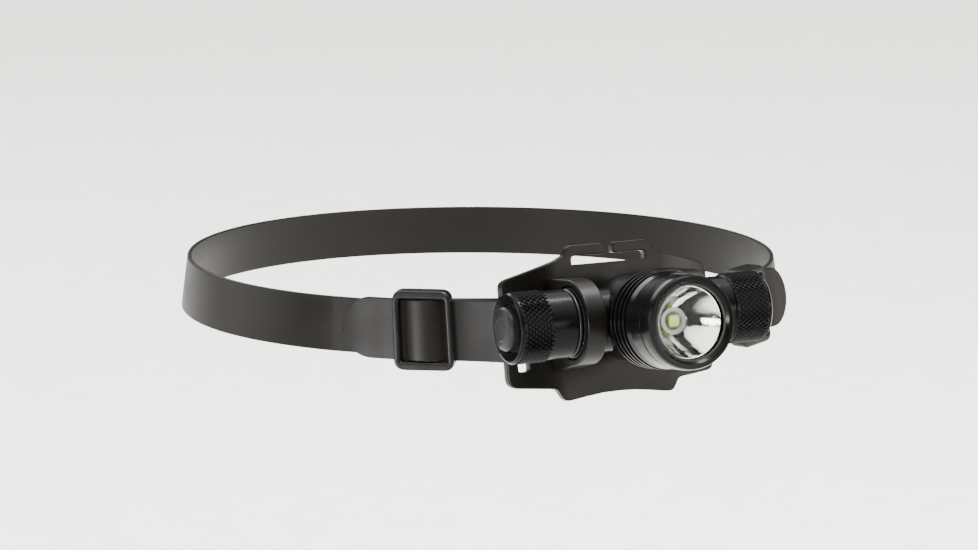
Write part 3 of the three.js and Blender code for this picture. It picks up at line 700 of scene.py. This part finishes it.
def buckle_point(run, rise):
    place = loop_point(BUCKLE_ANGLE, 0)
    out = loop_point(BUCKLE_ANGLE, 1) - place
    along = Vector((-out.y, out.x))
    return place + along * run + out * rise


def wing_point(x, back):
    station = PLATE_FRONT + wing_bend(x) + back
    axis_y, axis_z = TILT_AXIS.y / MM, TILT_AXIS.z / MM
    return Vector((x, axis_y + station / math.cos(PLATE_LEAN) - axis_z * math.tan(PLATE_LEAN)))


def strap_end_route(tongue):
    """The right end of the strap, as in the CAD: over the buckle's middle bar, round the wing's bar
    and back over the middle bar to the loose tongue."""
    inward = [
        loop_point(math.radians(47), INNER_LAYER), buckle_point(13, INNER_LAYER - 0.7),
        buckle_point(8.5, INNER_LAYER), buckle_point(5.6, 1.5), buckle_point(3.2, 3.1),
        buckle_point(0, 3.5), buckle_point(-3.2, 3.1), buckle_point(-5.6, 1.5),
        buckle_point(-8.5, INNER_LAYER), buckle_point(-13, INNER_LAYER - 0.5),
        wing_point(45, 4.1), wing_point(40, 5), wing_point(37, 4.9), wing_point(35.4, 4.6),
        wing_point(34.25, 3.45), wing_point(34.1, 1.9), wing_point(34.4, 0.2), wing_point(35.6, -1.05),
        wing_point(37.4, -1.4), wing_point(39.4, -1.4), wing_point(41, -0.7), wing_point(44.5, -0.1),
    ]
    outward = [
        buckle_point(-14, OUTER_LAYER - 0.1), buckle_point(-9.4, OUTER_LAYER), buckle_point(-7, 3.2),
        buckle_point(-4, 4.9), buckle_point(0, 5.5), buckle_point(4, 4.9), buckle_point(7, 3.2),
        buckle_point(9.4, OUTER_LAYER), buckle_point(13.5, OUTER_LAYER - 0.6),
    ]
    return [*inward, *outward, *tongue]


def smooth_curve(points, steps=8):
    """A centripetal Catmull-Rom curve through the points."""
    padded = [2 * points[0] - points[1], *points, 2 * points[-1] - points[-2]]
    curve = []
    for i in range(len(points) - 1):
        p0, p1, p2, p3 = padded[i:i + 4]
        t1 = math.sqrt((p1 - p0).length)
        t2 = t1 + math.sqrt((p2 - p1).length)
        t3 = t2 + math.sqrt((p3 - p2).length)
        for step in range(steps):
            t = t1 + (t2 - t1) * step / steps
            a1 = p0 * (t1 - t) / t1 + p1 * t / t1
            a2 = p1 * (t2 - t) / (t2 - t1) + p2 * (t - t1) / (t2 - t1)
            a3 = p2 * (t3 - t) / (t3 - t2) + p3 * (t - t2) / (t3 - t2)
            b1 = a1 * (t2 - t) / t2 + a2 * t / t2
            b2 = a2 * (t3 - t) / (t3 - t1) + a3 * (t - t1) / (t3 - t1)
            curve.append(b1 * (t2 - t) / (t2 - t1) + b2 * (t - t1) / (t2 - t1))
    curve.append(points[-1])
    return curve


def drop(x, y):
    """How far the strap hangs below the origin: it slopes down between the bracket and the right
    buckle, and rises again round the back."""
    ends = (RIGHT_DROP_START, RIGHT_DROP_END) if y < 0 else (-LOOP_HALF_WIDTH, LOOP_HALF_WIDTH)
    start, end = ends
    share = min(max((x - start) / (end - start), 0), 1)
    return STRAP_DROP + RIGHT_DROP * share * share * (3 - 2 * share)


def taper(mesh):
    """Lays a piece of the strap on the hat's flared side."""
    for vertex in mesh.verts:
        x, y, z = vertex.co
        z -= drop(x, y)
        vertex.co = (x * (1 - TAPER_X * z * (x / LOOP_HALF_WIDTH) ** 2), y * (1 - TAPER_Y * z), z)
    return mesh


def strap_line():
    """The strap's centreline and its distance from the nearer end, from tongue to tongue."""
    lying = [loop_point(math.radians(degrees), OUTER_LAYER) for degrees in (44.3, 47.4, TONGUE_TIP)]
    standing = [buckle_point(run, OUTER_LAYER - 0.2) for run in (20, 25, TONGUE_REACH)]
    right = smooth_curve(strap_end_route(standing))
    left = [Vector((-point.x, point.y)) for point in reversed(smooth_curve(strap_end_route(lying)))]
    start = math.radians(53)
    turns = [-start - i / 150 * 2 * (math.pi - start) for i in range(151)]
    line = [*left, *[loop_point(turn, INNER_LAYER) for turn in turns], *right]
    return line


def strap_width(distance):
    """Full width where the strap lies double and on the tongues, narrower where it is stretched."""
    radius = RELAXED_WIDTH / 2
    if distance < radius:
        return max(2 * math.sqrt(radius ** 2 - (radius - distance) ** 2), 0.8)
    blend = min(max((distance - DOUBLED_LENGTH) / 8, 0), 1)
    return RELAXED_WIDTH + (BAND_WIDTH - RELAXED_WIDTH) * blend * blend * (3 - 2 * blend)


def resampled(line, step, tip_steps=14):
    """Points at an even step, closer together along the round ends."""
    lengths = [0.0]
    for one, two in zip(line, line[1:]):
        lengths.append(lengths[-1] + (two - one).length)
    total = lengths[-1]
    radius = RELAXED_WIDTH / 2
    tip = [radius * (1 - math.cos(math.pi / 2 * i / tip_steps)) for i in range(tip_steps)]
    count = round((total - 2 * radius) / step)
    body = [radius + (total - 2 * radius) * i / count for i in range(count + 1)]
    wanted = [*tip, *body, *[total - t for t in reversed(tip)]]
    points = []
    k = 0
    for target in wanted:
        while k < len(lengths) - 2 and lengths[k + 1] < target:
            k += 1
        share = (target - lengths[k]) / (lengths[k + 1] - lengths[k])
        points.append((line[k].lerp(line[k + 1], share), min(target, total - target)))
    return points


def make_strap():
    points = resampled(strap_line(), 0.9)
    thick = STRAP_THICKNESS / 2
    edge = 0.45
    corners = []
    for side_out, side_up, first in ((1, 1, 0), (-1, 1, 90), (-1, -1, 180), (1, -1, 270)):
        for step in range(4):
            turn = math.radians(first + 30 * step)
            corners.append((side_out * (thick - edge) + edge * math.cos(turn),
                            side_up, edge * math.sin(turn) - side_up * edge))
    mesh = bmesh.new()
    rings = []
    for i, (point, distance) in enumerate(points):
        before = points[max(i - 1, 0)][0]
        after = points[min(i + 1, len(points) - 1)][0]
        along = (after - before).normalized()
        out = Vector((along.y, -along.x))
        half = strap_width(distance) / 2
        ring = []
        for offset, side_up, lift in corners:
            place = point + out * offset
            squeeze = min(half / edge, 1)
            ring.append(mesh.verts.new((place.x, place.y, side_up * half + lift * squeeze)))
        rings.append(ring)
    for one, two in zip(rings, rings[1:]):
        for k in range(len(corners)):
            following = (k + 1) % len(corners)
            mesh.faces.new([one[k], one[following], two[following], two[k]])
    mesh.faces.new(rings[0])
    mesh.faces.new(rings[-1])
    taper(mesh)
    piece("strap_band", mesh, ROW, "bracket", ["strap"], STRAP_RUBBER, 60)


def make_buckles():
    for side, node in ((-1, "left_buckle"), (1, "right_buckle")):
        outside = fillet(rectangle(BUCKLE_HALF_LENGTH, BUCKLE_HALF_HEIGHT), 3.8, steps=8)
        # A hole runs the other way round than the outside.
        window = fillet(rectangle(WINDOW_HALF_LENGTH, WINDOW_HALF_HEIGHT)[::-1], 0.8)
        frame_slab = rounded_slab([outside, window], 6, 0.75, 4)
        frame_slab.transform(Matrix.Rotation(math.pi / 2, 4, "X"))
        shift(frame_slab, 0, -3.3)
        relief = box_mesh(-12, 12, -4.1, 1, -WINDOW_HALF_HEIGHT, WINDOW_HALF_HEIGHT)
        middle_bar = box_mesh(-2, 2, -2.3, -0.3, -11.4, 11.4, 0.35)
        mesh = combine(frame_slab, ("DIFFERENCE", relief), ("UNION", middle_bar))
        place = loop_point(side * BUCKLE_ANGLE, 0)
        out = loop_point(side * BUCKLE_ANGLE, 1) - place
        mesh.transform(Matrix.Translation((place.x, place.y, 0))
                       @ Matrix.Rotation(math.atan2(out.x, -out.y), 4, "Z"))
        taper(mesh)
        piece(f"{node}_slide", mesh, ROW, "bracket", [node], BUCKLE_PLASTIC, 35)


# ---- stage ----
def area_light(name, place, target, size, power, color=(1, 1, 1)):
    data = bpy.data.lights.new(name, "AREA")
    data.shape = "RECTANGLE"
    data.size, data.size_y = size
    data.energy = power
    data.color = color
    obj = bpy.data.objects.new(name, data)
    obj.location = place
    obj.rotation_mode = "QUATERNION"
    obj.rotation_quaternion = (Vector(target) - Vector(place)).to_track_quat("-Z", "Y")
    bpy.context.collection.objects.link(obj)


def make_stage():
    mesh = bmesh.new()
    bmesh.ops.create_grid(mesh, x_segments=2, y_segments=2, size=6)
    shift(mesh, 0, 0, -0.16)
    data = bpy.data.meshes.new("floor")
    mesh.to_mesh(data)
    mesh.free()
    floor = bpy.data.objects.new("floor", data)
    data.materials.append(surface("floor", (0.88, 0.875, 0.86), 0.6, grain=3, depth=0.01, tint=0.01))
    bpy.context.collection.objects.link(floor)
    centre = TILT_AXIS
    area_light("left", centre + Vector((-1.2, -0.6, -0.02)), centre, (0.35, 0.2), 26)
    area_light("rear_left", centre + Vector((-1.5, 0.9, 0.3)), centre, (1.0, 0.7), 14)
    area_light("top", centre + Vector((0.2, -0.1, 1.0)), centre, (0.8, 0.2), 32)
    area_light("rear", centre + Vector((-0.3, 1.5, 0.9)), centre, (1.4, 0.4), 16)
    area_light("front_right", centre + Vector((1.5, -1.25, 0.35)), centre, (2.0, 0.6), 52,
               (1, 0.94, 0.86))
    world = bpy.data.worlds.new("studio")
    world.use_nodes = True
    tree = world.node_tree
    direction = tree.nodes.new("ShaderNodeTexCoord")
    split = tree.nodes.new("ShaderNodeSeparateXYZ")
    sky = tree.nodes.new("ShaderNodeMapRange")
    sky.interpolation_type = "SMOOTHSTEP"
    for socket, value in (("From Min", 0.4), ("From Max", 0.95), ("To Min", 0.03), ("To Max", 5.2)):
        sky.inputs[socket].default_value = value
    link(tree, direction, "Generated", split, "Vector")
    link(tree, split, "Z", sky, "Value")
    link(tree, sky, "Result", tree.nodes["Background"], "Strength")
    tree.nodes["Background"].inputs["Color"].default_value = (1, 0.985, 0.955, 1)
    bpy.context.scene.world = world


# ---- the CAD nodes that stay ----
KEPT = {
    "left_tilt_ring": NYLON, "right_tilt_ring": NYLON, "lens_gasket": SEAL_RUBBER,
    "led_board": BOARD, "heat_sink": COPPER, "driver_board": BOARD,
    "led_lead_positive": RED_INSULATION, "led_lead_negative": BLACK_INSULATION,
    "driver_contact": STEEL, "feed_strip": COPPER, "cell_1": CELL_WRAP, "cell_2": CELL_WRAP,
    "switch_plunger": WHITE_PLASTIC, "switch_module": BLACK_PLASTIC, "switch_retainer": STEEL,
    "switch_board": BOARD, "switch_spring": STEEL, "battery_contact": STEEL, "battery_spring": STEEL,
}


def finish_kept_nodes():
    for node, material in KEPT.items():
        materials = frame["nodes"][node].data.materials
        materials.clear()
        materials.append(material)


make_switch_cap()
make_battery_cap()
make_boot()
make_seals()
make_housing()
make_barrel()
make_bezel()
make_lens()
make_reflector()
make_emitter()
make_plate()
make_arms()
make_screws()
make_strap()
make_buckles()
finish_kept_nodes()
make_stage()
